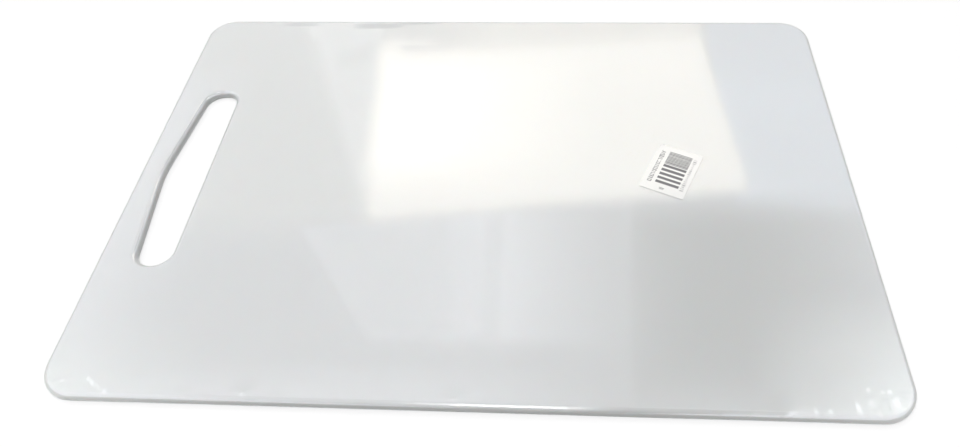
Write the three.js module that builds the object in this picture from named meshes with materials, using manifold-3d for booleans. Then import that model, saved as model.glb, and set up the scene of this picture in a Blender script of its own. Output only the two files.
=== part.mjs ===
// White plastic cutting board with a grip slot, shrink-wrapped in clear film, with a paper label on the film.
// Millimetres. X runs along the board, Y across it and Z up. The slot is at the -X end.
// The origin is the middle of the wrapped board's underside.
import * as THREE from "three";
import { mergeVertices } from "three/addons/utils/BufferGeometryUtils.js";
import Module from "manifold-3d";

// The board
const BOARD_LENGTH = 395;
const BOARD_DEPTH = 280;
const BOARD_THICKNESS = 6;
const CORNER_RADIUS = 17;
const EDGE_RADIUS = 2.6;

// The grip slot: a straight inner side, round ends, and an outer side that bows out to the middle of the grip
const GRIP_BAR_WIDTH = 19; // between the board's edge and the slot's ends
const SLOT_LENGTH = 132;
const SLOT_WIDTH = 19; // at the round ends
const SLOT_BOW = 6; // how much wider the slot is at its middle
const SLOT_BEND_LENGTH = 20; // the stretch over which the two halves of the outer side turn into each other

// The shrink film: two webs that meet in a seam at half the board's thickness
const FILM_THICKNESS = 0.1;
const FILM_CLEARANCE = 0.15;

// The label, placed from the board's right edge and its middle line
const LABEL_LENGTH = 35;
const LABEL_WIDTH = 25;
const LABEL_THICKNESS = 0.1;
const LABEL_CORNER_RADIUS = 0.8;
const LABEL_ADHESIVE = 0.05;
const LABEL_FROM_RIGHT_EDGE = 96.8;
const LABEL_FROM_MIDDLE_LINE = 3.6;
const LABEL_TURN = THREE.MathUtils.degToRad(66);

// Facets
const ARC_DIVISIONS = 6;
const EDGE_DIVISIONS = 4;
const MERGE_DISTANCE = 1e-4;
const FILLET_SHARE = 0.45; // the most of a wall that one of its two fillets may take

// Heights
const filmBuild = FILM_CLEARANCE + FILM_THICKNESS;
const seamHeight = filmBuild + BOARD_THICKNESS / 2;
const wrappedHeight = BOARD_THICKNESS + 2 * filmBuild;
const edgeRadius = Math.min(EDGE_RADIUS, FILLET_SHARE * BOARD_THICKNESS);

const wasm = await Module();
wasm.setup();

// A closed geometry as a solid that can be cut.
function solidFrom(geometry) {
  const loose = geometry.index ? geometry.toNonIndexed() : geometry;
  const bare = new THREE.BufferGeometry();
  bare.setAttribute("position", loose.getAttribute("position"));
  const merged = mergeVertices(bare, MERGE_DISTANCE);
  return new wasm.Manifold(
    new wasm.Mesh({
      numProp: 3,
      vertProperties: merged.getAttribute("position").array,
      triVerts: new Uint32Array(merged.index.array),
    }),
  );
}

// A cut solid as a geometry with flat faces.
function geometryFrom(solid) {
  const { vertProperties, triVerts } = solid.getMesh();
  const geometry = new THREE.BufferGeometry();
  geometry.setAttribute("position", new THREE.BufferAttribute(vertProperties, 3));
  geometry.setIndex(new THREE.BufferAttribute(triVerts, 1));
  const faceted = geometry.toNonIndexed();
  faceted.computeVertexNormals();
  return faceted;
}

// A rectangle with round corners, centred on the origin.
function roundedRectangle(length, depth, radius) {
  const x = length / 2 - radius;
  const y = depth / 2 - radius;
  const quarter = Math.PI / 2;
  return new THREE.Shape()
    .absarc(x, y, radius, 0, quarter)
    .absarc(-x, y, radius, quarter, 2 * quarter)
    .absarc(-x, -y, radius, 2 * quarter, 3 * quarter)
    .absarc(x, -y, radius, 3 * quarter, 4 * quarter)
    .closePath();
}

// The grip slot, drawn in by inset on all sides.
function slotOutline(inset) {
  const endRadius = SLOT_WIDTH / 2;
  const radius = endRadius - inset;
  const endX = GRIP_BAR_WIDTH + endRadius - BOARD_LENGTH / 2;
  const endY = SLOT_LENGTH / 2 - endRadius;
  const apexX = GRIP_BAR_WIDTH - SLOT_BOW + inset - BOARD_LENGTH / 2;

  // Each half of the outer side runs from the apex and touches the round end at this angle, seen from its centre.
  const reach = Math.hypot(endX - apexX, endY);
  const touch = Math.atan2(endY, endX - apexX) + Math.PI / 2 + Math.asin(radius / reach);
  const touchX = endX + radius * Math.cos(touch);
  const touchY = endY + radius * Math.sin(touch);

  // The soft bend at the apex starts and ends on the two halves.
  const bendY = SLOT_BEND_LENGTH / 2;
  const bendX = apexX + ((touchX - apexX) * bendY) / touchY;
  return new THREE.Path()
    .moveTo(endX + radius, -endY)
    .lineTo(endX + radius, endY)
    .absarc(endX, endY, radius, 0, touch)
    .lineTo(bendX, bendY)
    .quadraticCurveTo(apexX, 0, bendX, -bendY)
    .lineTo(touchX, -touchY)
    .absarc(endX, -endY, radius, -touch, 0);
}

// The board's form with its rounded edges, grown by clearance on all sides.
function boardForm(clearance) {
  const outline = roundedRectangle(
    BOARD_LENGTH + 2 * clearance,
    BOARD_DEPTH + 2 * clearance,
    CORNER_RADIUS + clearance,
  );
  outline.holes.push(slotOutline(clearance));
  const fillet = edgeRadius + clearance;
  const straight = BOARD_THICKNESS - 2 * edgeRadius;
  const form = new THREE.ExtrudeGeometry(outline, {
    depth: straight,
    curveSegments: ARC_DIVISIONS,
    bevelThickness: fillet,
    bevelSize: fillet,
    bevelOffset: -fillet,
    bevelSegments: EDGE_DIVISIONS,
  });
  return form.translate(0, 0, seamHeight - straight / 2);
}

// One web of the film: the half of the wrap on the given side of the seam, 1 for above and -1 for below.
function filmWeb(side) {
  const half = new THREE.BoxGeometry(
    BOARD_LENGTH + 4 * filmBuild,
    BOARD_DEPTH + 4 * filmBuild,
    wrappedHeight,
  );
  half.translate(0, 0, seamHeight + (side * wrappedHeight) / 2);
  const wrap = solidFrom(boardForm(filmBuild));
  const room = solidFrom(boardForm(FILM_CLEARANCE));
  return geometryFrom(wrap.intersect(solidFrom(half)).subtract(room));
}

function labelSheet() {
  const outline = roundedRectangle(LABEL_LENGTH, LABEL_WIDTH, LABEL_CORNER_RADIUS);
  return new THREE.ExtrudeGeometry(outline, {
    depth: LABEL_THICKNESS,
    curveSegments: ARC_DIVISIONS,
    bevelEnabled: false,
  });
}

function piece(name, geometry, material) {
  const mesh = new THREE.Mesh(geometry, material);
  mesh.name = name;
  return mesh;
}

const whitePlastic = new THREE.MeshStandardMaterial({ color: 0xeceeee, roughness: 0.45, metalness: 0 });
const clearFilm = new THREE.MeshStandardMaterial({
  color: 0xffffff,
  roughness: 0.06,
  metalness: 0,
  transparent: true,
  opacity: 0.12,
});
const labelPaper = new THREE.MeshStandardMaterial({ color: 0xf6f5f0, roughness: 0.8, metalness: 0 });

const cuttingBoard = new THREE.Group();
cuttingBoard.name = "cutting_board";
cuttingBoard.add(piece("board", boardForm(0), whitePlastic));
cuttingBoard.add(piece("film_upper_web", filmWeb(1), clearFilm));
cuttingBoard.add(piece("film_lower_web", filmWeb(-1), clearFilm));

const label = piece("paper_label", labelSheet(), labelPaper);
label.position.set(
  BOARD_LENGTH / 2 - LABEL_FROM_RIGHT_EDGE,
  LABEL_FROM_MIDDLE_LINE,
  wrappedHeight + LABEL_ADHESIVE,
);
label.rotation.z = LABEL_TURN;
cuttingBoard.add(label);

export default cuttingBoard;
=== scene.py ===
"""White plastic cutting board in clear shrink film, with a printed paper label.

The CAD frame gives the places and sizes. This script moulds the board with smooth rounded edges, wraps it
in a film that is creased at its corners and welded along its seam, prints the label, and sets up the studio
and the camera.
"""
import logging
import math
import random
from abc import ABC, abstractmethod
from dataclasses import dataclass, field
from enum import Enum
from typing import Any, Optional, Union

import bpy
import numpy as np
from mathutils import Euler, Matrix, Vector, noise
from mathutils.geometry import delaunay_2d_cdt


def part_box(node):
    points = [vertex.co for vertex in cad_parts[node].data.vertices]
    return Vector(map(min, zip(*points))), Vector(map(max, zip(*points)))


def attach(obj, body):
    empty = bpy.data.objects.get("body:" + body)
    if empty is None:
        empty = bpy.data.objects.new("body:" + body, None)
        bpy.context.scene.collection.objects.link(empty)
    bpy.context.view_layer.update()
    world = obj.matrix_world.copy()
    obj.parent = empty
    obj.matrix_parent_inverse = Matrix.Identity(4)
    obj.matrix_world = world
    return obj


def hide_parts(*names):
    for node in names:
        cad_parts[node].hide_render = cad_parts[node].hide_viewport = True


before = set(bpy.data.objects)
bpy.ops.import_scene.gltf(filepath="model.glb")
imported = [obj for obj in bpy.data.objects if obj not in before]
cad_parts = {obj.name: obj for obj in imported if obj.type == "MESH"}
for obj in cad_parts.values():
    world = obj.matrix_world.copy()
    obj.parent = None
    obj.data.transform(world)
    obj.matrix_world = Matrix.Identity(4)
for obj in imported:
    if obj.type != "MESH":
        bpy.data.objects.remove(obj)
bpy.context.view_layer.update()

MM = 0.001
# Name of the point attribute that holds the film's painted glints: spots where its mirror share is raised.
PAINTED_GLINT_ATTRIBUTE = "painted_glint"
QUARTER = math.pi / 2
BODY = "root"

log = logging.getLogger("cutting_board")

Colour = tuple[float, float, float, float]
Key = Union[int, str]
Value = Union["Wire", float, int, bool, tuple, Vector]


class Wire:
    """One node's output, on which Python's operators add Math nodes."""

    def __init__(self, graph: "Graph", socket: Optional[bpy.types.NodeSocket]) -> None:
        """Keeps the graph and the output socket."""
        self.graph = graph
        self.socket = socket

    def _math(self, operation: str, first: Value, second: Value = 0.0, clamp: bool = False) -> "Wire":
        """Adds one Math node.

        Args:
            operation: the Math node's operation.
            first: its first value.
            second: its second value.
            clamp: whether the result is held between 0 and 1.

        Returns:
            The node's output.
        """
        settings = {"operation": operation, "use_clamp": clamp}
        return self.graph.node("ShaderNodeMath", settings, {0: first, 1: second})

    def __add__(self, other: Value) -> "Wire":
        """This plus other."""
        return self._math("ADD", self, other)

    def __radd__(self, other: Value) -> "Wire":
        """Other plus this."""
        return self._math("ADD", other, self)

    def __sub__(self, other: Value) -> "Wire":
        """This less other."""
        return self._math("SUBTRACT", self, other)

    def __rsub__(self, other: Value) -> "Wire":
        """Other less this."""
        return self._math("SUBTRACT", other, self)

    def __mul__(self, other: Value) -> "Wire":
        """This times other."""
        return self._math("MULTIPLY", self, other)

    def __rmul__(self, other: Value) -> "Wire":
        """Other times this."""
        return self._math("MULTIPLY", other, self)

    def __truediv__(self, other: Value) -> "Wire":
        """This over other."""
        return self._math("DIVIDE", self, other)

    def __rtruediv__(self, other: Value) -> "Wire":
        """Other over this."""
        return self._math("DIVIDE", other, self)

    def __pow__(self, other: Value) -> "Wire":
        """This to the power of other."""
        return self._math("POWER", self, other)

    def __rpow__(self, other: Value) -> "Wire":
        """Other to the power of this."""
        return self._math("POWER", other, self)

    def held(self) -> "Wire":
        """This, held between 0 and 1."""
        return self._math("ADD", self, 0.0, clamp=True)

    def largest(self, other: Value) -> "Wire":
        """The larger of this and other."""
        return self._math("MAXIMUM", self, other)


class Graph:
    """A node tree under construction, for a material, the world or Geometry Nodes."""

    def __init__(self, tree: bpy.types.NodeTree) -> None:
        """Starts from an empty tree."""
        tree.nodes.clear()
        self.tree = tree

    @staticmethod
    def _socket(sockets: Any, key: Key) -> bpy.types.NodeSocket:
        """Finds a socket by its index, its identifier or its name."""
        if isinstance(key, int):
            return sockets[key]
        by_identifier = [socket for socket in sockets if socket.identifier == key]
        return by_identifier[0] if by_identifier else sockets[key]

    def node(
        self,
        kind: str,
        settings: Optional[dict[str, Any]] = None,
        inputs: Optional[dict[Key, Value]] = None,
        output: Key = 0,
    ) -> Wire:
        """Adds one node.

        Args:
            kind: the node's type.
            settings: its properties, set first; "stops" gives a ramp's positions and colours.
            inputs: a value or a wire for each socket that is set.
            output: which of its outputs is wanted.

        Returns:
            That output, with no socket where the node has none.
        """
        made = self.tree.nodes.new(kind)
        for name, value in (settings or {}).items():
            if name == "stops":
                self._set_stops(made.color_ramp, value)
            else:
                setattr(made, name, value)
        for key, value in (inputs or {}).items():
            socket = self._socket(made.inputs, key)
            if isinstance(value, Wire):
                self.tree.links.new(value.socket, socket)
            else:
                socket.default_value = value
        return Wire(self, self._socket(made.outputs, output) if len(made.outputs) else None)

    @staticmethod
    def _set_stops(ramp: bpy.types.ColorRamp, stops: list[tuple[float, Colour]]) -> None:
        """Gives a colour ramp its stops."""
        while len(ramp.elements) < len(stops):
            ramp.elements.new(1.0)
        for element, (position, colour) in zip(ramp.elements, stops):
            element.position = position
            element.color = colour

    def blend(self, factor: Value, first: Value, second: Value) -> Wire:
        """Mixes two colours.

        Args:
            factor: how much of the second shows.
            first: the first colour.
            second: the second colour.

        Returns:
            The mixed colour.
        """
        inputs = {"Factor_Float": factor, "A_Color": first, "B_Color": second}
        return self.node("ShaderNodeMix", {"data_type": "RGBA"}, inputs, "Result_Color")

    def cloud(self, place: Wire, size: float, detail: float = 2.0) -> Wire:
        """Noise between 0 and 1.

        Args:
            place: the coordinates it is drawn on.
            size: how wide its patches are, in metres.
            detail: how many finer layers it has.

        Returns:
            The noise.
        """
        return self.node("ShaderNodeTexNoise", None, {"Vector": place, "Scale": 1 / size, "Detail": detail})

    def place(self) -> Wire:
        """The object's own coordinates."""
        return self.node("ShaderNodeTexCoord", output="Object")

    def bump(self, height: Wire, depth: float, strength: float) -> Wire:
        """A normal from a height between 0 and 1 that stands depth metres high."""
        inputs = {"Height": height, "Distance": depth, "Strength": strength}
        return self.node("ShaderNodeBump", None, inputs)


def new_material(name: str) -> tuple[bpy.types.Material, Graph]:
    """Makes an empty material.

    Args:
        name: the material's name.

    Returns:
        The material and its graph.
    """
    material = bpy.data.materials.new(name)
    material.use_nodes = True
    return material, Graph(material.node_tree)


@dataclass(frozen=True)
class MouldedPlastic:
    """White polyethylene as it comes out of the mould: faintly clouded, with a fine satin grain."""

    name: str = "white_moulded_plastic"
    cool_white: Colour = (0.742, 0.749, 0.745, 1.0)
    warm_white: Colour = (0.756, 0.759, 0.75, 1.0)
    cloud_size: float = 60 * MM
    grain_size: float = 0.55 * MM
    grain_depth: float = 0.012 * MM
    grain_strength: float = 0.35
    roughness: float = 0.46
    roughness_swing: float = 0.10
    subsurface: float = 0.10
    subsurface_depth: float = 1.6 * MM
    specular: float = 0.25

    def material(self) -> bpy.types.Material:
        """The finish as a material."""
        material, graph = new_material(self.name)
        place = graph.place()
        cloud = graph.cloud(place, self.cloud_size, 3.0)
        grain = graph.cloud(place, self.grain_size, 2.0)
        shader = graph.node(
            "ShaderNodeBsdfPrincipled",
            None,
            {
                "Base Color": graph.blend(cloud, self.cool_white, self.warm_white),
                "Roughness": self.roughness + self.roughness_swing * (cloud + grain - 1.0),
                "Specular IOR Level": self.specular,
                "Subsurface Weight": self.subsurface,
                "Subsurface Scale": self.subsurface_depth,
                "Normal": graph.bump(grain, self.grain_depth, self.grain_strength),
            },
        )
        graph.node("ShaderNodeOutputMaterial", None, {"Surface": shader})
        return material


@dataclass(frozen=True)
class ClearFilm:
    """Clear shrink film: it shows the board, and mirrors the room more the flatter it is looked at. Painted
    glints raise its mirror share at marked spots.
    """

    name: str = "clear_shrink_film"
    tint: Colour = (0.993, 0.996, 0.994, 1.0)
    mirror_head_on: float = 0.056
    mirror_power: float = 5.0
    haze_size: float = 26 * MM
    haze_mirror: float = 0.006
    roughness: float = 0.045
    haze_roughness: float = 0.03
    ripple_size: float = 20 * MM
    ripple_depth: float = 0.02 * MM
    ripple_strength: float = 0.5
    # painted glint: how much the mirror share rises at the marked spots
    painted_glint_mirror: float = 0.12

    def material(self) -> bpy.types.Material:
        """The finish as a material."""
        material, graph = new_material(self.name)
        # The painted glints: a point attribute that raises the mirror share at spots, so that they show as
        # highlights.
        painted_glints = graph.node("ShaderNodeAttribute", {"attribute_name": PAINTED_GLINT_ATTRIBUTE}, None, "Fac")
        haze = graph.cloud(graph.place(), self.haze_size, 4.0)
        ripple = graph.cloud(graph.place(), self.ripple_size, 1.0)
        facing = graph.node("ShaderNodeLayerWeight", None, {"Blend": 0.5}, "Facing")
        mirror = self.mirror_head_on + (1.0 - self.mirror_head_on) * facing**self.mirror_power
        gloss = graph.node(
            "ShaderNodeBsdfGlossy",
            None,
            {
                "Color": (1.0, 1.0, 1.0, 1.0),
                "Roughness": self.roughness + self.haze_roughness * haze,
                "Normal": graph.bump(ripple, self.ripple_depth, self.ripple_strength),
            },
        )
        clear = graph.node("ShaderNodeBsdfTransparent", None, {"Color": self.tint})
        factor = (mirror + self.haze_mirror * haze + self.painted_glint_mirror * painted_glints).held()
        shader = graph.node("ShaderNodeMixShader", None, {0: factor, 1: clear, 2: gloss})
        graph.node("ShaderNodeOutputMaterial", None, {"Surface": shader})
        return material


@dataclass(frozen=True)
class LabelPaper:
    """Smooth white label paper with a faint fibre."""

    name: str = "label_paper"
    light: Colour = (0.93, 0.93, 0.905, 1.0)
    dark: Colour = (0.87, 0.87, 0.845, 1.0)
    fibre_size: float = 0.35 * MM
    fibre_depth: float = 0.006 * MM
    fibre_strength: float = 0.4
    roughness: float = 0.42
    roughness_swing: float = 0.12
    gloss: float = 1.0
    gloss_index: float = 1.75
    gloss_roughness: float = 0.12

    def material(self) -> bpy.types.Material:
        """The finish as a material."""
        material, graph = new_material(self.name)
        fibre = graph.cloud(graph.place(), self.fibre_size, 4.0)
        shader = graph.node(
            "ShaderNodeBsdfPrincipled",
            None,
            {
                "Base Color": graph.blend(fibre, self.dark, self.light),
                "Roughness": self.roughness + self.roughness_swing * fibre,
                "Coat Weight": self.gloss,
                "Coat IOR": self.gloss_index,
                "Coat Roughness": self.gloss_roughness,
                "Normal": graph.bump(fibre, self.fibre_depth, self.fibre_strength),
            },
        )
        graph.node("ShaderNodeOutputMaterial", None, {"Surface": shader})
        return material


@dataclass(frozen=True)
class PrintInk:
    """Black thermal print, a little uneven, as on a shop label."""

    name: str = "label_ink"
    black: Colour = (0.06, 0.06, 0.062, 1.0)
    worn: Colour = (0.2, 0.2, 0.2, 1.0)
    speckle_size: float = 0.3 * MM
    roughness: float = 0.5
    roughness_swing: float = 0.15
    gloss: float = 0.35
    gloss_roughness: float = 0.16

    def material(self) -> bpy.types.Material:
        """The finish as a material."""
        material, graph = new_material(self.name)
        speckle = graph.cloud(graph.place(), self.speckle_size, 3.0)
        shader = graph.node(
            "ShaderNodeBsdfPrincipled",
            None,
            {
                "Base Color": graph.blend(speckle, self.black, self.worn),
                "Roughness": self.roughness + self.roughness_swing * speckle,
                "Coat Weight": self.gloss,
                "Coat Roughness": self.gloss_roughness,
            },
        )
        graph.node("ShaderNodeOutputMaterial", None, {"Surface": shader})
        return material


@dataclass(frozen=True)
class PaleFloor:
    """White floor that reads as a white ground and still takes the board's shadow."""

    name: str = "pale_floor"
    colour: Colour = (0.28, 0.28, 0.28, 1.0)
    glow: float = 0.81

    def material(self) -> bpy.types.Material:
        """The finish as a material."""
        material, graph = new_material(self.name)
        diffuse = graph.node("ShaderNodeBsdfDiffuse", None, {"Color": self.colour})
        glow = graph.node("ShaderNodeEmission", None, {"Strength": self.glow * seen_directly(graph)})
        shader = graph.node("ShaderNodeAddShader", None, {0: diffuse, 1: glow})
        graph.node("ShaderNodeOutputMaterial", None, {"Surface": shader})
        return material


def seen_directly(graph: Graph) -> Wire:
    """1 for what the camera sees itself, in a mirror or through glass, and 0 for light on the object."""
    path = graph.node("ShaderNodeLightPath", output="Is Camera Ray")
    outputs = path.socket.node.outputs
    mirrored = Wire(graph, outputs["Is Glossy Ray"])
    through = Wire(graph, outputs["Is Transmission Ray"])
    return path.largest(mirrored).largest(through)


class Shell:
    """Points and faces of a mesh under construction."""

    def __init__(self) -> None:
        """Starts empty."""
        self.points: list[np.ndarray] = []
        self.faces: list[tuple[int, ...]] = []
        self.count = 0

    def add(self, points: np.ndarray) -> np.ndarray:
        """Adds points.

        Args:
            points: rows of x, y and z.

        Returns:
            Their indices.
        """
        indices = np.arange(self.count, self.count + len(points))
        self.points.append(points)
        self.count += len(points)
        return indices

    def band(self, upper: np.ndarray, lower: np.ndarray, outward: bool) -> None:
        """Joins two closed rings of the same number of points.

        Args:
            upper: the ring nearer the top, anticlockwise.
            lower: the ring below it.
            outward: true for an outer wall, false for the wall of an opening.
        """
        for k in range(len(upper)):
            n = (k + 1) % len(upper)
            quad = (upper[k], lower[k], lower[n], upper[n])
            self.faces.append(tuple(int(i) for i in (quad if outward else quad[::-1])))

    def cap(self, rim: np.ndarray, hole: Optional[np.ndarray], inside: np.ndarray, up: bool = True) -> None:
        """Fills a flat ring with triangles.

        Args:
            rim: indices of the outer ring, anticlockwise.
            hole: indices of the ring of an opening in it, or None.
            inside: indices of loose points within.
            up: whether the faces look up.
        """
        rings = [rim] if hole is None else [rim, hole]
        order = np.concatenate([*rings, inside]).astype(int)
        plan = self.array()[order, :2]
        loops, start = [], 0
        for ring in rings:
            loops.append(list(range(start, start + len(ring))))
            start += len(ring)
        flat = [Vector((float(x), float(y))) for x, y in plan]
        _, _, triangles, sources, _, owners = delaunay_2d_cdt(flat, [], loops, 1, 1e-9)
        for triangle, owner in zip(triangles, owners):
            if list(owner) != [0]:
                continue
            corners = [int(order[sources[i][0]]) for i in triangle]
            self.faces.append(tuple(corners if up else corners[::-1]))

    def array(self) -> np.ndarray:
        """All the points as one array."""
        return np.concatenate(self.points)

    def mesh(self, name: str, points: Optional[np.ndarray] = None, flip: bool = False) -> bpy.types.Mesh:
        """Makes the mesh.

        Args:
            name: the mesh's name.
            points: moved points to use in place of its own.
            flip: whether to turn the faces round, for a mirrored shape.

        Returns:
            The mesh, shaded smooth.
        """
        made = bpy.data.meshes.new(name)
        faces = [face[::-1] for face in self.faces] if flip else self.faces
        made.from_pydata((self.array() if points is None else points).tolist(), [], faces)
        made.update()
        made.shade_smooth()
        return made


def lift(plan: np.ndarray, height: float) -> np.ndarray:
    """Points in plan, set at one height."""
    return np.column_stack([plan, np.full(len(plan), height)])


def link_piece(name: str, mesh: bpy.types.Mesh, material: bpy.types.Material) -> bpy.types.Object:
    """Adds a mesh to the scene.

    Args:
        name: the object's name.
        mesh: its mesh, in the row frame.
        material: its finish.

    Returns:
        The object, at the origin.
    """
    piece = bpy.data.objects.new(name, mesh)
    bpy.context.scene.collection.objects.link(piece)
    if not mesh.materials:
        mesh.materials.append(material)
    return piece


def bake_modifiers(piece: bpy.types.Object, sharp_angle: float) -> None:
    """Turns a piece with modifiers into a plain mesh.

    Args:
        piece: the object.
        sharp_angle: edges that turn more than this, in degrees, are shaded sharp.
    """
    depsgraph = bpy.context.evaluated_depsgraph_get()
    mesh = bpy.data.meshes.new_from_object(piece.evaluated_get(depsgraph))
    mesh.name = piece.name
    piece.modifiers.clear()
    piece.data = mesh
    mesh.shade_smooth()
    mesh.set_sharp_from_angle(angle=math.radians(sharp_angle))


def thicken(piece: bpy.types.Object, thickness: float, sharp_angle: float) -> None:
    """Gives an open sheet its thickness, inwards.

    Args:
        piece: the sheet, with its faces looking outwards.
        thickness: the wall, in metres.
        sharp_angle: edges that turn more than this, in degrees, are shaded sharp.
    """
    wall = piece.modifiers.new("wall", "SOLIDIFY")
    wall.thickness = thickness
    wall.offset = -1.0
    bake_modifiers(piece, sharp_angle)


def seat(piece: bpy.types.Object, slot: str, nodes: tuple[str, ...] = ()) -> bpy.types.Object:
    """Fixes a finished piece to the board's body.

    Args:
        piece: the object.
        slot: the name of a material slot, which is only written to the log.
        nodes: the CAD nodes that it stands for.

    Returns:
        The same object.
    """
    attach(piece, BODY)
    if nodes:
        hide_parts(*nodes)
    log.info("%s: %d faces, slot %s, replaces %s", piece.name, len(piece.data.polygons), slot, list(nodes))
    return piece


@dataclass(frozen=True)
class BoardForm:
    """The board's plan and its rounded edge, which the board and both webs of the film follow."""

    length: float
    depth: float
    thickness: float
    middle: float
    corner_radius: float = 17 * MM
    edge_radius: float = 2.6 * MM
    grip_bar_width: float = 19 * MM
    slot_length: float = 132 * MM
    slot_width: float = 19 * MM
    slot_bow: float = 6 * MM
    slot_bend_length: float = 20 * MM

    @classmethod
    def from_node(cls, node: str) -> "BoardForm":
        """Takes the overall sizes from a CAD node.

        Args:
            node: the board's node.

        Returns:
            The form.
        """
        low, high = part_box(node)
        size = Vector(high) - Vector(low)
        return cls(size.x, size.y, size.z, (low[2] + high[2]) / 2)

    def corner_centres(self) -> list[tuple[float, float]]:
        """Centres of the four round corners, anticlockwise from the back right."""
        x = self.length / 2 - self.corner_radius
        y = self.depth / 2 - self.corner_radius
        return [(x, y), (-x, y), (-x, -y), (x, -y)]

    def rim(self, grow: float, spacing: float) -> np.ndarray:
        """The board's outline.

        Args:
            grow: how far it is moved outwards.
            spacing: the distance between points.

        Returns:
            Its points in plan, anticlockwise.
        """
        radius = self.corner_radius + grow
        steps = max(10, round(QUARTER * self.corner_radius / spacing))
        sides = (self.length - 2 * self.corner_radius, self.depth - 2 * self.corner_radius)
        centres = self.corner_centres()
        arcs = []
        for k, centre in enumerate(centres):
            angles = (k + np.linspace(0, 1, steps + 1)) * QUARTER
            arcs.append(np.array(centre) + radius * np.column_stack([np.cos(angles), np.sin(angles)]))
        points = []
        for k, arc in enumerate(arcs):
            parts = max(2, round(sides[k % 2] / spacing))
            share = np.arange(1, parts)[:, None] / parts
            following = arcs[(k + 1) % len(arcs)]
            points += [arc, arc[-1] + (following[0] - arc[-1]) * share]
        return np.concatenate(points)

    def slot(self, inset: float, spacing: float) -> np.ndarray:
        """The grip slot's outline: a straight inner side, round ends, and an outer side that bows out.

        Args:
            inset: how far it is drawn in.
            spacing: the distance between points.

        Returns:
            Its points in plan, anticlockwise.
        """
        end_radius = self.slot_width / 2
        radius = end_radius - inset
        end_x = self.grip_bar_width + end_radius - self.length / 2
        end_y = self.slot_length / 2 - end_radius
        apex_x = self.grip_bar_width - self.slot_bow + inset - self.length / 2

        reach = math.hypot(end_x - apex_x, end_y)
        touch = math.atan2(end_y, end_x - apex_x) + QUARTER + math.asin(radius / reach)
        touch_x = end_x + radius * math.cos(touch)
        touch_y = end_y + radius * math.sin(touch)
        bend_y = self.slot_bend_length / 2
        bend_x = apex_x + (touch_x - apex_x) * bend_y / touch_y

        arc_steps = max(12, round(math.pi * end_radius / spacing))
        side_steps = max(4, round(end_y / spacing))
        bend_steps = max(6, round(self.slot_bend_length / spacing))
        angles = np.linspace(0, touch, arc_steps + 1)
        far_arc = np.column_stack([end_x + radius * np.cos(angles), end_y + radius * np.sin(angles)])
        share = np.arange(1, side_steps)[:, None] / side_steps
        far_side = far_arc[-1] + (np.array([bend_x, bend_y]) - far_arc[-1]) * share
        t = np.linspace(0, 1, bend_steps + 1)[:, None]
        start, apex, stop = np.array([[bend_x, bend_y], [apex_x, 0], [bend_x, -bend_y]])
        bend = (1 - t) ** 2 * start + 2 * t * (1 - t) * apex + t**2 * stop
        mirror = np.array([1, -1])
        near_side = (far_side * mirror)[::-1]
        near_arc = (far_arc * mirror)[::-1]
        share = np.arange(1, 2 * side_steps)[:, None] / (2 * side_steps)
        inner_side = near_arc[-1] + (far_arc[0] - near_arc[-1]) * share
        return np.concatenate([far_arc, far_side, bend, near_side, near_arc, inner_side])

    def edge(self, grow: float, slopes: tuple[float, ...]) -> list[tuple[float, float, float]]:
        """The rounded edge from the flat face down to the wall.

        Args:
            grow: how far the surface stands off the board.
            slopes: the slopes of its rings from level, in degrees.

        Returns:
            For each ring, how far it lies outside the board's outline, its height above the board's middle,
            and the slope of its surface from level, in radians.
        """
        centre = self.thickness / 2 - self.edge_radius
        radius = self.edge_radius + grow
        turns = [math.radians(slope) for slope in slopes]
        return [(radius * math.sin(a) - self.edge_radius, centre + radius * math.cos(a), a) for a in turns]


@dataclass
class Board:
    """The moulded slab with its grip slot."""

    form: BoardForm
    finish: MouldedPlastic = MouldedPlastic()
    spacing: float = 1.6 * MM
    edge_slopes: tuple[float, ...] = (0, 11, 22, 33, 44, 55, 67, 79, 90)
    flat_band: float = 0.4 * MM

    def build(self) -> bpy.types.Object:
        """Makes the board and puts it in the place of its CAD node.

        Returns:
            The board.
        """
        upper = [(offset, height) for offset, height, _ in self.form.edge(0.0, self.edge_slopes)]
        upper.insert(0, (upper[0][0] - self.flat_band, upper[0][1]))
        profile = upper + [(offset, -height) for offset, height in reversed(upper)]
        shell = Shell()
        rims, slots = [], []
        for offset, height in profile:
            z = self.form.middle + height
            rims.append(shell.add(lift(self.form.rim(offset, self.spacing), z)))
            slots.append(shell.add(lift(self.form.slot(offset, self.spacing), z)))
        for k in range(len(profile) - 1):
            shell.band(rims[k], rims[k + 1], outward=True)
            shell.band(slots[k], slots[k + 1], outward=False)
        none = np.array([], int)
        shell.cap(rims[0], slots[0], none, up=True)
        shell.cap(rims[-1], slots[-1], none, up=False)
        piece = link_piece("board_moulding", shell.mesh("board_moulding"), self.finish.material())
        return seat(piece, "white_plastic", ("board",))


class WebSide(Enum):
    """The two webs of the film, by the side of the seam that they lie on."""

    UPPER = 1
    LOWER = -1


class Relief(ABC):
    """A change of the film's height, with the mesh spacing that shows it."""

    spacing: float

    @abstractmethod
    def profile(self, plan: np.ndarray) -> np.ndarray:
        """The rise over the given points.

        Args:
            plan: points in plan.

        Returns:
            Heights in metres.
        """

    @abstractmethod
    def touches(self, plan: np.ndarray, widen: float) -> np.ndarray:
        """Whether each point lies on or near the relief.

        Args:
            plan: points in plan.
            widen: how much wider than real the relief is taken.

        Returns:
            One answer for each point.
        """


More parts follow.
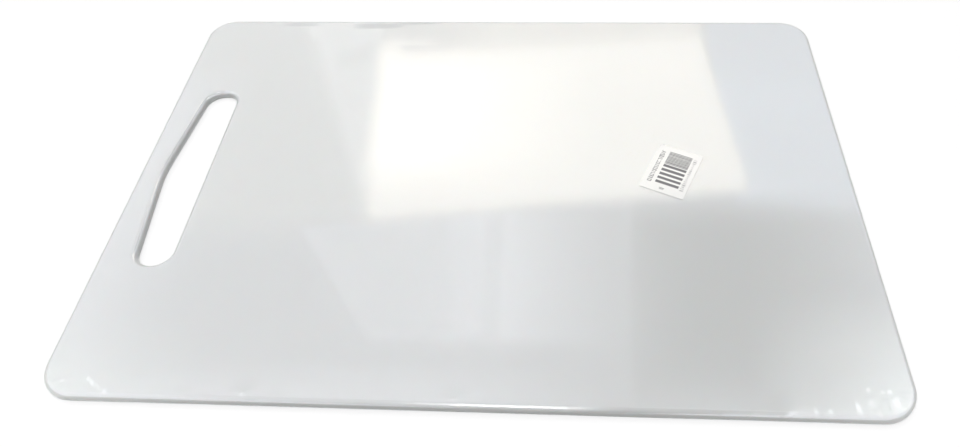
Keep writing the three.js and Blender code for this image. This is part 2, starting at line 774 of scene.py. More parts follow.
@dataclass(frozen=True)
class Crease(Relief):
    """One raised crease in the film: where it starts, which way it runs, and its section.

    The section is a sharp crest with a steep side and a long one. A lean above 1 makes the left side the
    long one. The crest sways by a share of the spread. Its two ends are blunter the smaller their power.
    """

    start: tuple[float, float]
    heading: float
    length: float
    spread: float
    height: float
    lean: float = 1.0
    sway: float = 0.25
    end_power: float = 0.5
    spacing: float = 0.5 * MM

    def profile(self, plan: np.ndarray) -> np.ndarray:
        """The crease's height over the given points, in metres."""
        return self._widened(plan, 1.0)

    def touches(self, plan: np.ndarray, widen: float) -> np.ndarray:
        """Whether each point lies on or near the crease."""
        return self._widened(plan, widen) > 0.0

    def _widened(self, plan: np.ndarray, widen: float) -> np.ndarray:
        """The height over the given points, with the crease taken as wider and longer than real."""
        along_axis = np.array([math.cos(self.heading), math.sin(self.heading)])
        across_axis = np.array([-along_axis[1], along_axis[0]])
        rel = plan - np.array(self.start)
        along = (rel @ along_axis) / self.length
        sway = self.sway * self.spread * np.sin(9.0 * along + 40.0 * self.heading)
        across = rel @ across_axis - sway
        reach = self.spread * widen * np.where(across > 0, self.lean, 1.0 / self.lean)
        overrun = (widen - 1.0) * self.spread / self.length
        taper = np.clip(1.0 - ((2.0 * along - 1.0) / (1.0 + overrun)) ** 2, 0.0, 1.0)
        return self.height * taper**self.end_power * np.clip(1.0 - np.abs(across) / reach, 0.0, 1.0)


@dataclass(frozen=True)
class Pinch(Relief):
    """A spot where the film is pinched to a slope: it rises behind the spot and dips in front of it.

    The facing is the way that the slope looks. The film comes back to level a few sizes away.
    At the spot a painted glint raises the film's mirror share, by the share that the mark gives.
    """

    place: tuple[float, float]
    facing: float
    slope: float
    length: float
    width: float
    # the strength of the painted glint at the spot
    mark: float
    level: float = 4.0
    close: float = 2.0
    spacing: float = 0.25 * MM

    def profile(self, plan: np.ndarray) -> np.ndarray:
        """The film's rise over the given points, in metres."""
        along, away = self._along_and_away(plan)
        calm = np.clip(1.0 - away / self.level**2, 0.0, 1.0) ** 2
        return -self.slope * self.length * along / (1.0 + away) * calm

    def painted_glint(self, plan: np.ndarray) -> np.ndarray:
        """The painted glint's strength at the given points, from 0 to 1: how much the film's mirror share is
        raised there.
        """
        return self.mark * np.exp(-self._along_and_away(plan)[1])

    def touches(self, plan: np.ndarray, widen: float) -> np.ndarray:
        """Whether each point lies close to the spot."""
        return self._along_and_away(plan)[1] < (self.close * widen) ** 2

    def _along_and_away(self, plan: np.ndarray) -> tuple[np.ndarray, np.ndarray]:
        """Each point's place along the facing, and its distance squared, both in sizes of the spot."""
        axis = np.array([math.cos(self.facing), math.sin(self.facing)])
        rel = plan - np.array(self.place)
        along = (rel @ axis) / self.length
        across = (rel @ np.array([-axis[1], axis[0]])) / self.width
        return along, along**2 + across**2


@dataclass(frozen=True)
class Mound(Relief):
    """A low swelling, where the film stands loose off the board."""

    place: tuple[float, float]
    radius: float
    height: float
    spacing: float = 2.5 * MM

    def profile(self, plan: np.ndarray) -> np.ndarray:
        """The swelling's height over the given points, in metres."""
        return self.height * np.clip(1.0 - self._away(plan), 0.0, 1.0) ** 2

    def touches(self, plan: np.ndarray, widen: float) -> np.ndarray:
        """Whether each point lies on or near the swelling."""
        return self._away(plan) < widen**2

    def _away(self, plan: np.ndarray) -> np.ndarray:
        """Each point's distance from the middle, squared, in sizes of the swelling."""
        return np.sum((plan - np.array(self.place)) ** 2, axis=1) / self.radius**2


@dataclass
class CreasePattern:
    """The film's relief: pleats round the corners, puckers along the edges, and listed forms.

    The listed forms are the swellings and pinches at the front and the facets along the back.
    """

    form: BoardForm
    seed: int = 23
    tallest: float = 2.0 * MM
    deepest: float = 0.15 * MM
    pleats_per_corner: int = 8
    pucker_pitch: float = 24 * MM
    long_side: float = 10.0
    facet_end_power: float = 1.5
    facet_spacing: float = 1.2 * MM
    creases: list[Relief] = field(default_factory=list)

    def draw(self) -> "CreasePattern":
        """Draws the creases with the fixed seed.

        Returns:
            The same pattern, filled.
        """
        chance = random.Random(self.seed)
        self._corner_pleats(chance)
        self._edge_puckers(chance)
        self._front_swellings()
        self._front_pinches()
        self._back_folds()
        log.info("film creases: %d", len(self.creases))
        return self

    def _corner_pleats(self, chance: random.Random) -> None:
        """Pleats that fan out over the round corners, where the film gathers most."""
        radius = self.form.corner_radius
        for k, (x, y) in enumerate(self.form.corner_centres()):
            for pleat in range(self.pleats_per_corner):
                share = (pleat + chance.uniform(0.1, 0.9)) / self.pleats_per_corner
                angle = (k + share) * QUARTER
                inner = chance.uniform(2.5, 11.0) * MM
                start = radius - inner
                self.creases.append(
                    Crease(
                        (x + start * math.cos(angle), y + start * math.sin(angle)),
                        angle + chance.uniform(-0.35, 0.35),
                        inner + chance.uniform(1.5, 4.0) * MM,
                        chance.uniform(0.9, 2.0) * MM,
                        chance.uniform(0.01, 0.04) * MM,
                        chance.uniform(0.6, 1.7),
                    )
                )

    def _edge_puckers(self, chance: random.Random) -> None:
        """Short puckers across the straight edges."""
        centres = self.form.corner_centres()
        for k, (x, y) in enumerate(centres):
            heading = (k + 1) * QUARTER
            out = np.array([math.cos(heading), math.sin(heading)])
            following = np.array(centres[(k + 1) % len(centres)])
            first = np.array([x, y])
            span = float(np.linalg.norm(following - first))
            for _ in range(round(span / self.pucker_pitch)):
                inner = chance.uniform(1.0, 5.0) * MM
                foot = first + (following - first) * chance.random()
                start = foot + out * (self.form.corner_radius - inner)
                self.creases.append(
                    Crease(
                        (float(start[0]), float(start[1])),
                        heading + chance.uniform(-0.7, 0.7),
                        inner + chance.uniform(1.0, 3.0) * MM,
                        chance.uniform(0.9, 2.2) * MM,
                        chance.uniform(0.008, 0.03) * MM,
                        chance.uniform(0.6, 1.7),
                    )
                )

    def _facet(self, x: float, y: float, degrees: float, length: float, width: float, slope: float) -> None:
        """Adds a flat flank with soft ends, to the left of a crest with the given heading.

        Args:
            x: the flank's middle in millimetres.
            y: the same.
            degrees: the crest's heading.
            length: the flank's length in millimetres.
            width: its width in millimetres.
            slope: its rise over its width.
        """
        heading = math.radians(degrees)
        along = np.array([math.cos(heading), math.sin(heading)])
        left = np.array([-along[1], along[0]])
        x, y = (np.array([x, y]) - 0.5 * length * along - 0.5 * width * left) * MM
        lean = 1.0 / math.sqrt(self.long_side)
        height = slope * width * MM
        spread = width * MM / lean
        shape = {"sway": 0.0, "end_power": self.facet_end_power, "spacing": self.facet_spacing}
        self.creases.append(Crease((x, y), heading, length * MM, spread, height, lean, **shape))

    def _pinch(
        self, x: float, y: float, degrees: float, slope: float, length: float, width: float, mark: float
    ) -> None:
        """Adds a pinch, given in millimetres and degrees."""
        place = (x * MM, y * MM)
        self.creases.append(Pinch(place, math.radians(degrees), slope, length * MM, width * MM, mark))

    def _mound(self, x: float, y: float, radius: float, height: float) -> None:
        """Adds a swelling, given in millimetres."""
        self.creases.append(Mound((x * MM, y * MM), radius * MM, height * MM))

    def _front_swellings(self) -> None:
        """Where the film stands loose along the front edge."""
        self._mound(174.0, -134.0, 30.0, 0.15)
        self._mound(-172.0, -136.0, 30.0, 0.12)
        self._mound(-100.5, -136.8, 9.0, 0.06)
        self._mound(-5.6, -137.0, 9.0, 0.06)
        self._mound(141.0, -138.0, 12.0, 0.12)

    def _front_pinches(self) -> None:
        """The small pinches at the front corners and along the front edge, each with a painted glint whose
        strength is its last number.
        """
        self._pinch(175.9, -126.2, -67, 0.03, 1.2, 0.7, 0.5)
        self._pinch(181.7, -126.9, -67, 0.03, 0.8, 0.6, 0.35)
        self._pinch(184.8, -126.9, -70, 0.03, 1.3, 0.9, 0.45)
        self._pinch(186.5, -132.1, -80, 0.02, 2.6, 1.8, 0.35)
        self._pinch(176.0, -132.5, -70, 0.02, 2.0, 1.2, 0.25)
        self._pinch(169.7, -135.0, -72, 0.03, 2.2, 0.8, 1.0)
        self._pinch(157.5, -137.0, -75, 0.03, 1.3, 0.75, 0.9)
        self._pinch(151.5, -137.0, -59, 0.03, 1.7, 0.8, 0.6)
        self._pinch(141.0, -138.2, 5, 0.02, 2.6, 0.7, 0.6)
        self._pinch(178.1, -137.6, -60, 0.03, 0.9, 0.6, 0.45)
        self._pinch(-185.1, -132.3, -109, 0.03, 0.9, 0.6, 0.4)
        self._pinch(-173.5, -131.1, -112, 0.03, 1.0, 0.7, 0.5)
        self._pinch(-171.1, -132.8, -60, 0.03, 1.9, 0.7, 0.8)
        self._pinch(-167.0, -135.2, -60, 0.03, 1.6, 0.6, 0.4)
        self._pinch(-163.3, -137.4, -116, 0.03, 1.4, 0.8, 0.8)
        self._pinch(-100.5, -136.7, -127, 0.04, 1.1, 0.8, 0.6)
        self._pinch(-5.6, -136.8, -84, 0.05, 0.9, 0.6, 0.3)

    def _back_folds(self) -> None:
        """Flat facets along the back edge, which lean away from the front."""
        self._facet(-137.0, 134.8, -1, 30, 2.5, 0.05)
        self._facet(-82.0, 133.4, 0, 41, 4.8, 0.06)
        self._facet(-57.0, 136.4, 1, 38, 2.2, 0.06)

    def height(self, plan: np.ndarray) -> np.ndarray:
        """The film's rise over the given points, in metres."""
        total = sum(crease.profile(plan) for crease in self.creases)
        bound = np.where(total > 0.0, self.tallest, self.deepest)
        return bound * np.tanh(total / bound)

    def painted_glint(self, plan: np.ndarray) -> np.ndarray:
        """The painted glints' strength at the given points, from 0 to 1: how much the film's mirror share is
        raised there.
        """
        pinches = [crease for crease in self.creases if isinstance(crease, Pinch)]
        return np.max([pinch.painted_glint(plan) for pinch in pinches], axis=0)

    def spacings(self) -> list[float]:
        """The mesh spacings that the creases need, the finest first."""
        return sorted({crease.spacing for crease in self.creases})

    def reach(self, plan: np.ndarray, spacing: float, widen: float) -> np.ndarray:
        """Whether each point lies on or near a crease that needs the given mesh spacing."""
        creases = [crease for crease in self.creases if crease.spacing == spacing]
        return np.any([crease.touches(plan, widen) for crease in creases], axis=0)


@dataclass
class FilmWeb:
    """One web of the shrink film, from its flat face round the edge to the welded seam."""

    form: BoardForm
    side: WebSide
    pattern: CreasePattern
    stand_off: float
    thickness: float = 0.1 * MM
    edge_slopes: tuple[float, ...] = (0, 7, 14, 21, 28, 35, 42, 51, 63, 76, 90)
    rim_spacing: float = 1.0 * MM
    slot_spacing: float = 1.6 * MM
    coarse_spacing: float = 9 * MM
    grid_reach: float = 1.3
    grid_clearance: float = 1.5
    rim_margin: float = 0.5
    wall_heights: tuple[float, ...] = (0.28 * MM, 0.16 * MM, 0.07 * MM, 0.0)
    bead: tuple[float, ...] = (0.0, 0.03 * MM, 0.12 * MM, 0.2 * MM)
    wave_length: float = 75 * MM
    wave_height: float = 0.014 * MM
    flat_bands: tuple[float, ...] = (1.6 * MM, 0.4 * MM)
    pressed_share: float = 0.3
    pressed_depth: float = 0.09 * MM
    sharp_angle: float = 70.0

    def build(self, finish: bpy.types.Material) -> bpy.types.Object:
        """Makes the web and puts it in the place of its CAD node.

        Args:
            finish: the film's material.

        Returns:
            The web.
        """
        shell = Shell()
        rounding = self.form.edge(self.stand_off, self.edge_slopes)
        rings = [(rounding[0][0] - band, rounding[0][1], 0.0) for band in self.flat_bands] + rounding
        rings += [(self.stand_off + b, z, QUARTER) for z, b in zip(self.wall_heights, self.bead)]
        rims, slots, outs, slopes = [], [], [], []
        for offset, height, slope in rings:
            for outline, store, spacing in (
                (self.form.rim, rims, self.rim_spacing),
                (self.form.slot, slots, self.slot_spacing),
            ):
                plan = outline(offset, spacing)
                outs.append((outline(offset + MM, spacing) - plan) / MM)
                slopes.append(np.full(len(plan), slope))
                store.append(shell.add(lift(plan, height)))
        for k in range(len(rings) - 1):
            shell.band(rims[k], rims[k + 1], outward=True)
            shell.band(slots[k], slots[k + 1], outward=False)
        loose = self._loose_points(shell.array()[rims[0], :2], shell.array()[slots[0], :2])
        outs.append(np.zeros_like(loose))
        slopes.append(np.zeros(len(loose)))
        inside = shell.add(lift(loose, rings[0][1]))
        shell.cap(rims[0], slots[0], inside)
        points = self._creased(shell.array(), np.concatenate(outs), np.concatenate(slopes))
        lower = self.side is WebSide.LOWER
        name = f"film_{self.side.name.lower()}"
        mesh = shell.mesh(name, points, flip=lower)
        # The upper web carries the pinches' painted glints as a point attribute; the lower web has none.
        painted_glints = np.zeros(len(points)) if lower else self.pattern.painted_glint(points[:, :2])
        mesh.attributes.new(PAINTED_GLINT_ATTRIBUTE, "FLOAT", "POINT").data.foreach_set("value", painted_glints.astype(np.float32))
        piece = link_piece(name, mesh, finish)
        thicken(piece, self.thickness, self.sharp_angle)
        return seat(piece, "clear_film", (f"{name}_web",))

    def _loose_points(self, rim: np.ndarray, slot: np.ndarray) -> np.ndarray:
        """Points for the flat face: close together on the upper web's creases and far apart elsewhere.

        Args:
            rim: the flat face's outer ring in plan.
            slot: the ring of its opening.

        Returns:
            The points in plan.
        """
        steps = self.pattern.spacings() if self.side is WebSide.UPPER else []
        kept = []
        for k, spacing in enumerate(steps + [self.coarse_spacing]):
            grid = triangle_grid(rim, spacing)
            for finer in steps[:k]:
                grid = grid[~self.pattern.reach(grid, finer, self.grid_clearance)]
            if k < len(steps):
                grid = grid[self.pattern.reach(grid, spacing, self.grid_reach)]
            kept.append(self._inside(grid, rim, slot, self.rim_margin * spacing))
        return np.concatenate(kept)

    def _inside(self, plan: np.ndarray, rim: np.ndarray, slot: np.ndarray, margin: float) -> np.ndarray:
        """The points that lie within the rim and outside the slot, clear of both by a margin."""
        keep = within(plan, rim) & ~within(plan, slot)
        plan = plan[keep]
        edge = np.concatenate([rim, slot])
        gaps = np.array([np.min(np.sum((edge - point) ** 2, axis=1)) for point in plan])
        return plan[gaps > margin**2]

    def _creased(self, points: np.ndarray, outs: np.ndarray, slopes: np.ndarray) -> np.ndarray:
        """Moves the smooth web's points onto its creases.

        Args:
            points: the smooth web, with heights above the board's middle.
            outs: each point's direction away from the board in plan.
            slopes: each point's slope from level, in radians.

        Returns:
            The creased web in the row frame.
        """
        lengths = np.linalg.norm(outs, axis=1, keepdims=True)
        outs = outs / np.where(lengths > 0, lengths, 1.0)
        normals = np.column_stack([outs * np.sin(slopes)[:, None], np.cos(slopes)])
        rise = self.pattern.height(points[:, :2])
        rise *= np.clip(points[:, 2] / (0.5 * self.form.thickness), 0.0, 1.0) ** 0.5
        if self.side is WebSide.LOWER:
            pressed = -np.minimum(self.pressed_share * rise, self.pressed_depth)
            rise = pressed + (rise - pressed) * np.sin(slopes) ** 2
        else:
            waves = [noise.noise((x / self.wave_length, y / self.wave_length, 0.0)) for x, y, _ in points]
            rise = rise + self.wave_height * np.array(waves) * np.cos(slopes)
        moved = points + normals * rise[:, None]
        moved[:, 2] = self.form.middle + self.side.value * moved[:, 2]
        return moved


def triangle_grid(rim: np.ndarray, spacing: float) -> np.ndarray:
    """Points of an even triangle grid over a ring's box."""
    low, high = rim.min(axis=0), rim.max(axis=0)
    rise = spacing * math.sqrt(3) / 2
    rows = np.arange(low[1], high[1], rise)
    columns = np.arange(low[0], high[0], spacing)
    lines = []
    for k, y in enumerate(rows):
        shifted = columns + spacing / 2 * (k % 2)
        lines.append(np.column_stack([shifted, np.full(len(columns), y)]))
    return np.concatenate(lines)


def within(plan: np.ndarray, ring: np.ndarray) -> np.ndarray:
    """Whether each point lies within a closed ring, by counting the sides that it crosses."""
    inside = np.zeros(len(plan), bool)
    for (ax, ay), (bx, by) in zip(ring, np.roll(ring, -1, axis=0)):
        if ay == by:
            continue
        crosses = (plan[:, 1] < ay) != (plan[:, 1] < by)
        side = plan[:, 0] < ax + (plan[:, 1] - ay) * (bx - ax) / (by - ay)
        inside ^= crosses & side
    return inside


@dataclass(frozen=True)
class MarkRow:
    """A row of printed marks on the label, in the label's own frame."""

    name: str
    centre: tuple[float, float]
    count: int
    pitch: float
    width: float
    length: float
    width_spread: float
    length_spread: float
    seed: int


@dataclass
class Label:
    """The paper label on the film, with its printed bars and marks."""

    node: str = "paper_label"
    length: float = 35 * MM
    width: float = 25 * MM
    turn: float = math.radians(66)
    corner_radius: float = 0.8 * MM
    spacing: float = 0.9 * MM
    curl_start: float = 15 * MM
    curl_rise: float = 0.18 * MM
    curl_length: float = 6 * MM
    ink_height: float = 0.02 * MM
    ink_sunk: float = 0.01 * MM
    sharp_angle: float = 50.0
    rows: tuple[MarkRow, ...] = (
        MarkRow("label_bars_wide", (-3.9 * MM, -1.1 * MM), 5, 3.2 * MM, 1.6 * MM, 13.1 * MM, 0.22, 0.0, 3),
        MarkRow(
            "label_bars_narrow", (8.9 * MM, -1.1 * MM), 11, 0.92 * MM, 0.52 * MM, 13.1 * MM, 0.4, 0.0, 5
        ),
        MarkRow("label_word_short", (9.2 * MM, 8.7 * MM), 6, 1.2 * MM, 0.42 * MM, 2.2 * MM, 0.4, 0.3, 8),
        MarkRow("label_word_long", (-4.2 * MM, 8.7 * MM), 13, 1.26 * MM, 0.42 * MM, 2.1 * MM, 0.4, 0.3, 9),
        MarkRow("label_word_tops", (0.9 * MM, 9.6 * MM), 15, 1.7 * MM, 0.85 * MM, 0.36 * MM, 0.4, 0.2, 31),
        MarkRow("label_word_feet", (0.6 * MM, 7.8 * MM), 13, 1.95 * MM, 0.85 * MM, 0.36 * MM, 0.4, 0.2, 37),
        MarkRow(
            "label_marks_short_row", (0.5 * MM, -9.6 * MM), 18, 1.45 * MM, 0.34 * MM, 1.5 * MM, 0.4, 0.45, 13
        ),
        MarkRow("label_marks_foot", (-14.6 * MM, 0.6 * MM), 2, 0.8 * MM, 0.35 * MM, 2.4 * MM, 0.3, 0.3, 21),
    )

    def build(self) -> list[bpy.types.Object]:
        """Makes the sheet and its print.

        Returns:
            The sheet and the rows of print.
        """
        low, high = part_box(self.node)
        centre = (Vector(low) + Vector(high)) / 2
        sheet = self._sheet(centre, high[2], high[2] - low[2])
        ink = PrintInk().material()
        tree = mark_row_tree()
        return [sheet] + [self._print(row, tree, ink, centre, high[2]) for row in self.rows]

    def _sheet(self, centre: Vector, top: float, thickness: float) -> bpy.types.Object:
        """Makes the paper, flat under its print and lifted a little at one corner.

        Args:
            centre: the label's middle.
            top: the height of its upper face.
            thickness: the paper's thickness.

        Returns:
            The sheet.
        """
        form = BoardForm(self.length, self.width, thickness, top, self.corner_radius)
        shell = Shell()
        rim = shell.add(lift(form.rim(0.0, self.spacing), 0.0))
        plan = shell.array()[rim, :2]
        grid = triangle_grid(plan, self.spacing)
        grid = grid[within(grid, plan * 0.985)]
        inside = shell.add(lift(grid, 0.0))
        shell.cap(rim, None, inside)
        flat = shell.array()
        corner = np.array([1.0, 1.0]) / math.sqrt(2)
        beyond = np.clip((flat[:, :2] @ corner - self.curl_start) / self.curl_length, 0.0, None)
        turned = self._turned(flat[:, :2]) + np.array([centre.x, centre.y])
        points = lift(turned, top)
        points[:, 2] += self.curl_rise * beyond**2
        piece = link_piece("label_sheet", shell.mesh("label_sheet", points), LabelPaper().material())
        thicken(piece, thickness, self.sharp_angle)
        return seat(piece, "label_paper", (self.node,))

    def _turned(self, plan: np.ndarray) -> np.ndarray:
        """Points in the label's frame, turned as the label lies."""
        c, s = math.cos(self.turn), math.sin(self.turn)
        return plan @ np.array([[c, s], [-s, c]])

    def _print(
        self, row: MarkRow, tree: bpy.types.NodeTree, ink: bpy.types.Material, centre: Vector, top: float
    ) -> bpy.types.Object:
        """Prints one row of marks.

        Args:
            row: the row.
            tree: the Geometry Nodes tree that prints it.
            ink: the ink's material.
            centre: the label's middle.
            top: the height of its upper face.

        Returns:
            The row as one piece.
        """
        x, y = self._turned(np.array([row.centre]))[0]
        place = Vector((centre.x + x, centre.y + y, top + self.ink_height / 2 - self.ink_sunk))
        piece = link_piece(row.name, bpy.data.meshes.new(row.name), ink)
        modifier = piece.modifiers.new("print", "NODES")
        modifier.node_group = tree
        values = {
            "Count": row.count,
            "Pitch": row.pitch,
            "Width": row.width,
            "Length": row.length,
            "Height": self.ink_height,
            "Width Spread": row.width_spread,
            "Length Spread": row.length_spread,
            "Seed": row.seed,
            "Place": place,
            "Turn": self.turn,
            "Ink": ink,
        }
        for item in tree.interface.items_tree:
            if item.in_out == "INPUT" and item.name in values:
                modifier[item.identifier] = values[item.name]
        bake_modifiers(piece, self.sharp_angle)
        return seat(piece, "label_ink")


def mark_row_tree() -> bpy.types.NodeTree:
    """Builds the Geometry Nodes tree for a row of printed marks.

    Returns:
        The tree, with an input for each size.
    """
    tree = bpy.data.node_groups.new("mark_row", "GeometryNodeTree")
    tree.is_modifier = True
    graph = Graph(tree)
    tree.interface.new_socket("Geometry", in_out="INPUT", socket_type="NodeSocketGeometry")
    for name, kind in (
        ("Count", "Int"),
        ("Pitch", "Float"),
        ("Width", "Float"),
        ("Length", "Float"),
        ("Height", "Float"),
        ("Width Spread", "Float"),
        ("Length Spread", "Float"),
        ("Seed", "Int"),
        ("Place", "Vector"),
        ("Turn", "Float"),
        ("Ink", "Material"),
    ):
        tree.interface.new_socket(name, in_out="INPUT", socket_type=f"NodeSocket{kind}")
    tree.interface.new_socket("Geometry", in_out="OUTPUT", socket_type="NodeSocketGeometry")

    entry = graph.node("NodeGroupInput").socket.node
    given = {socket.name: Wire(graph, socket) for socket in entry.outputs if socket.name}
    half_row = (given["Count"] - 1.0) * given["Pitch"] * -0.5
    start = graph.node("ShaderNodeCombineXYZ", None, {"X": half_row})
    step = graph.node("ShaderNodeCombineXYZ", None, {"X": given["Pitch"]})
    line = graph.node(
        "GeometryNodeMeshLine",
        {"mode": "OFFSET"},
        {"Count": given["Count"], "Start Location": start, "Offset": step},
    )
    scales = []
    for size, spread, draw in (("Width", "Width Spread", 0), ("Length", "Length Spread", 1)):
        swing = graph.node(
            "FunctionNodeRandomValue",
            {"data_type": "FLOAT"},
            {"Min_001": 1.0 - given[spread], "Max_001": 1.0 + given[spread], "Seed": given["Seed"] + draw},
            "Value_001",
        )
        scales.append(given[size] * swing)
    scale = graph.node("ShaderNodeCombineXYZ", None, {"X": scales[0], "Y": scales[1], "Z": given["Height"]})
    mark = graph.node("GeometryNodeMeshCube", None, {"Size": (1.0, 1.0, 1.0)})
    inputs = {"Points": line, "Instance": mark, "Scale": scale}
    marks = graph.node("GeometryNodeInstanceOnPoints", None, inputs)
    solid = graph.node("GeometryNodeRealizeInstances", None, {"Geometry": marks})
    turn = graph.node("ShaderNodeCombineXYZ", None, {"Z": given["Turn"]})
    placed = graph.node(
        "GeometryNodeTransform", None, {"Geometry": solid, "Translation": given["Place"], "Rotation": turn}
    )
    inked = graph.node("GeometryNodeSetMaterial", None, {"Geometry": placed, "Material": given["Ink"]})
    graph.node("NodeGroupOutput", None, {"Geometry": inked})
    return tree


Corner = tuple[float, float]
Corners = tuple[Corner, Corner, Corner, Corner]


def box(left: float, right: float, near: float, far: float) -> Corners:
    """The corners of an upright rectangle in plan, anticlockwise from the near left."""
    return (left, near), (right, near), (right, far), (left, far)


@dataclass(frozen=True)
class Panel:
    """A flat lamp or dark card over the board, with four sides that fade out inwards.

    The corners run anticlockwise from the near left. The fades belong to the near, right, far and left side.
    """

    name: str
    height: float
    corners: Corners
    radiance: float
    tint: Colour
    fades: tuple[float, float, float, float]
    only_mirrored: bool = True

    def build(self) -> bpy.types.Object:
        """Makes the panel as a part of the studio.

        Returns:
            The panel.
        """
        mesh = bpy.data.meshes.new(self.name)
        mesh.from_pydata([(x, y, self.height) for x, y in self.corners], [], [(3, 2, 1, 0)])
        panel = link_piece(self.name, mesh, self._material())
        panel.visible_camera = False
        panel.visible_diffuse = not self.only_mirrored
        panel.visible_shadow = not self.only_mirrored
        return panel

    def _material(self) -> bpy.types.Material:
        """The panel's light, fading to nothing at its soft sides.

        Returns:
            The material.
        """
        material, graph = new_material(self.name)
        split = graph.node("ShaderNodeSeparateXYZ", None, {0: graph.place()}).socket.node.outputs
        x, y = Wire(graph, split["X"]), Wire(graph, split["Y"])
        cover: Value = 1.0
        for k, (ax, ay) in enumerate(self.corners):
            bx, by = self.corners[(k + 1) % len(self.corners)]
            length = math.hypot(bx - ax, by - ay)
            inside = (y - ay) * ((bx - ax) / length) - (x - ax) * ((by - ay) / length)
            cover = cover * (inside / self.fades[k]).held()
        clear = graph.node("ShaderNodeBsdfTransparent")
        glow = graph.node("ShaderNodeEmission", None, {"Color": self.tint, "Strength": self.radiance})
        shader = graph.node("ShaderNodeMixShader", None, {0: cover, 1: clear, 2: glow})
        graph.node("ShaderNodeOutputMaterial", None, {"Surface": shader})
        return material


@dataclass(frozen=True)
class SideLight:
    """A low soft light beside the board, which reaches its edges and hardly its face.

    The film doesn't mirror it.
    """

    name: str
    place: tuple[float, float, float]
    aim: tuple[float, float, float]
    power: float
    width: float = 0.12
    height: float = 0.04

    def build(self) -> bpy.types.Object:
        """Makes the light as a part of the studio.

        Returns:
            The light.
        """
        data = bpy.data.lights.new(self.name, "AREA")
        data.shape = "RECTANGLE"
        data.size = self.width
        data.size_y = self.height
        data.energy = self.power
        light = bpy.data.objects.new(self.name, data)
        light.location = self.place
        beam = Vector(self.aim) - Vector(self.place)
        light.rotation_euler = beam.to_track_quat("-Z", "Y").to_euler()
        light.visible_camera = False
        light.visible_glossy = False
        bpy.context.scene.collection.objects.link(light)
        return light


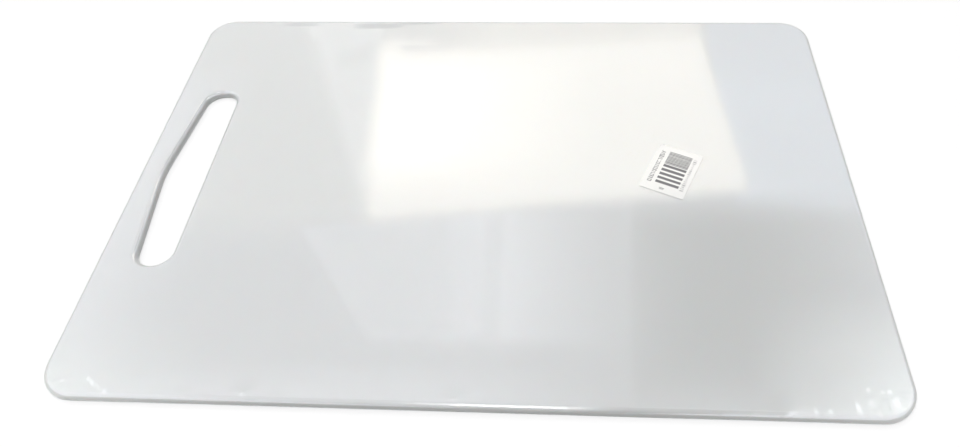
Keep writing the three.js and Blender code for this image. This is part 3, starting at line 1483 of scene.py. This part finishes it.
@dataclass
class Studio:
    """The floor, the panels over the board, the lights beside it, the world and the camera."""

    floor_reach: float = 8.0
    floor_gap: float = 0.2 * MM
    world_light: float = 0.15
    panel_height: float = 1.5
    camera_place: tuple[float, float, float] = (42.2 * MM, -296.68 * MM, 325.47 * MM)
    camera_turn: tuple[float, float, float] = (41.2132, 1.799, 2.6886)
    focal_pixels: float = 789.96
    image_width: float = 960.0
    image_height: float = 447.0
    axis_pixel: tuple[float, float] = (521.24, 198.38)
    sensor_width: float = 36.0

    def build(self) -> None:
        """Makes the studio."""
        self._floor()
        self._panels()
        self._side_lights()
        self._world()
        self._camera()
        bpy.context.scene.view_settings.view_transform = "Standard"

    def _floor(self) -> None:
        """A wide pale floor, just under the film."""
        reach = self.floor_reach
        mesh = bpy.data.meshes.new("floor")
        corners = [(-reach, -reach, 0), (reach, -reach, 0), (reach, reach, 0), (-reach, reach, 0)]
        mesh.from_pydata([(x, y, -self.floor_gap) for x, y, _ in corners], [], [(0, 1, 2, 3)])
        link_piece("floor", mesh, PaleFloor().material())

    def _panels(self) -> None:
        """One soft light overhead, and under it the cards that the film mirrors, the nearest last."""
        white = (1.0, 1.0, 1.0, 1.0)
        cool = (0.955, 0.963, 1.03, 1.0)
        pale = (0.955, 1.0, 1.0, 1.0)
        blue = (0.89, 0.945, 1.06, 1.0)
        warm = (1.0, 0.955, 0.89, 1.0)
        z = self.panel_height
        near_card = ((-0.49, 0.775), (-0.125, 0.785), (-0.14, 1.3), (-0.79, 1.19))
        near_mid = ((-0.33, 0.785), (-0.122, 0.79), (-0.146, 1.3), (-0.385, 1.25))
        grey_card = ((0.215, 0.52), (0.96, 0.52), (0.96, 1.37), (0.24, 1.33))
        dark_card = ((0.235, 0.62), (0.93, 0.62), (0.93, 1.33), (0.26, 1.29))
        side = ((-0.60, 1.22), (-0.56, 1.22), (-0.64, 2.35), (-1.06, 2.35))
        window = ((-0.575, 1.162), (0.62, 1.31), (0.54, 2.14), (-0.66, 2.03))
        lamp = box(-0.36, 0.12, -1.35, 0.1)
        core = ((-0.61, 1.25), (0.15, 1.30), (0.12, 2.07), (-0.65, 2.0))
        panels = (
            Panel("overhead_light", z + 0.2, box(-1.45, 0.95, -1.1, 1.3), 1.86, white, (0.2,) * 4, False),
            Panel("ceiling", z + 0.05, box(-3.0, 3.0, -3.5, 2.6), 1.55, cool, (0.1, 0.1, 0.3, 0.1)),
            Panel("front_card", z + 0.045, box(-2.4, 0.2, 0.4, 0.75), 2.1, cool, (0.15, 0.05, 0.1, 0.3)),
            Panel("front_left", z + 0.042, box(-3.0, -0.6, -8.0, 0.5), 2.6, cool, (0.1, 0.4, 0.12, 0.1)),
            Panel("front_right", z + 0.042, box(0.5, 3.0, -8.0, 0.5), 2.7, cool, (0.1, 0.1, 0.12, 0.25)),
            Panel("front_dark", z + 0.041, box(0.1, 0.62, -8.0, 0.55), 0.45, cool, (0.1, 0.2, 0.15, 0.1)),
            Panel("left_card", z + 0.04, box(-1.7, -0.55, 1.10, 2.6), 1.85, white, (0.16, 0.02, 0.4, 0.1)),
            Panel("right_card", z + 0.04, box(0.55, 1.6, 1.27, 2.7), 2.26, blue, (0.04, 0.1, 0.9, 0.03)),
            Panel("grip_lamp", z + 0.035, box(-1.95, -1.05, 0.15, 2.05), 2.5, cool, (0.2, 0.35, 0.4, 0.1)),
            Panel("mid_card", z + 0.032, box(-0.35, 0.24, 0.785, 1.27), 2.6, cool, (0.03, 0.02, 0.02, 0.1)),
            Panel("near_card", z + 0.03, near_card, 1.97, cool, (0.03, 0.02, 0.02, 0.025)),
            Panel("near_mid", z + 0.029, near_mid, 2.27, cool, (0.04, 0.06, 0.03, 0.12)),
            Panel("shade_card", z + 0.02, box(-0.2, 0.235, 0.3, 1.28), 1.1, cool, (0.1, 0.01, 0.03, 0.43)),
            Panel("grey_card", z + 0.015, grey_card, 0.72, cool, (0.2, 0.42, 0.13, 0.015)),
            Panel("dark_card", z + 0.012, dark_card, 0.36, cool, (0.2, 0.42, 0.13, 0.2)),
            Panel("left_lamp", z + 0.008, box(-1.9, -0.9, 0.1, 0.85), 2.85, pale, (0.1, 0.42, 0.22, 0.1)),
            Panel("right_lamp", z + 0.008, box(0.53, 1.6, 0.1, 0.97), 4.1, pale, (0.1, 0.1, 0.36, 0.46)),
            Panel("window_side", z + 0.006, side, 2.35, white, (0.12, 0.02, 0.2, 0.06)),
            Panel("window_top", z + 0.006, box(-0.8, 0.57, 1.9, 2.6), 2.6, warm, (0.1, 0.05, 0.35, 0.6)),
            Panel("window", z, window, 3.6, warm, (0.06, 0.03, 0.1, 0.05)),
            Panel("window_core", z - 0.005, core, 4.8, warm, (0.22, 0.6, 0.2, 0.08)),
            Panel("front_lamp", z - 0.01, lamp, 7.5, white, (0.25, 0.12, 0.7, 0.25)),
        )
        for panel in panels:
            panel.build()
            log.info("studio panel: %s", panel.name)

    def _side_lights(self) -> None:
        """Low lights off the two front corners."""
        lights = (
            SideLight("left_light", (-0.30, -0.26, 0.03), (-0.185, -0.135, 0.003), 0.13),
            SideLight("right_light", (0.30, -0.27, 0.03), (0.185, -0.135, 0.003), 0.09),
        )
        for light in lights:
            light.build()
            log.info("studio light: %s", light.name)

    def _world(self) -> None:
        """A white surround that gives the object only a low light."""
        world = bpy.data.worlds.new("surround")
        bpy.context.scene.world = world
        world.use_nodes = True
        graph = Graph(world.node_tree)
        strength = self.world_light + (1.0 - self.world_light) * seen_directly(graph)
        white = (1.0, 1.0, 1.0, 1.0)
        shader = graph.node("ShaderNodeBackground", None, {"Color": white, "Strength": strength})
        graph.node("ShaderNodeOutputWorld", None, {"Surface": shader})

    def _camera(self) -> None:
        """The camera at the photograph's place."""
        data = bpy.data.cameras.new("camera")
        data.sensor_width = self.sensor_width
        data.lens = self.focal_pixels / self.image_width * self.sensor_width
        data.shift_x = (self.image_width / 2 - self.axis_pixel[0]) / self.image_width
        data.shift_y = (self.axis_pixel[1] - self.image_height / 2) / self.image_width
        data.clip_start = 0.01
        camera = bpy.data.objects.new("camera", data)
        camera.location = self.camera_place
        camera.rotation_euler = Euler([math.radians(angle) for angle in self.camera_turn])
        bpy.context.scene.collection.objects.link(camera)
        bpy.context.scene.camera = camera


def main() -> None:
    """Builds the board, the film, the label and the studio."""
    logging.basicConfig(level=logging.INFO, format="%(name)s %(message)s")
    form = BoardForm.from_node("board")
    Board(form).build()
    film = ClearFilm().material()
    pattern = CreasePattern(form).draw()
    stand_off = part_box("film_upper_web")[1][2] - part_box("board")[1][2]
    for side in WebSide:
        FilmWeb(form, side, pattern, stand_off).build(film)
    Label().build()
    Studio().build()


if __name__ == "__main__":
    main()
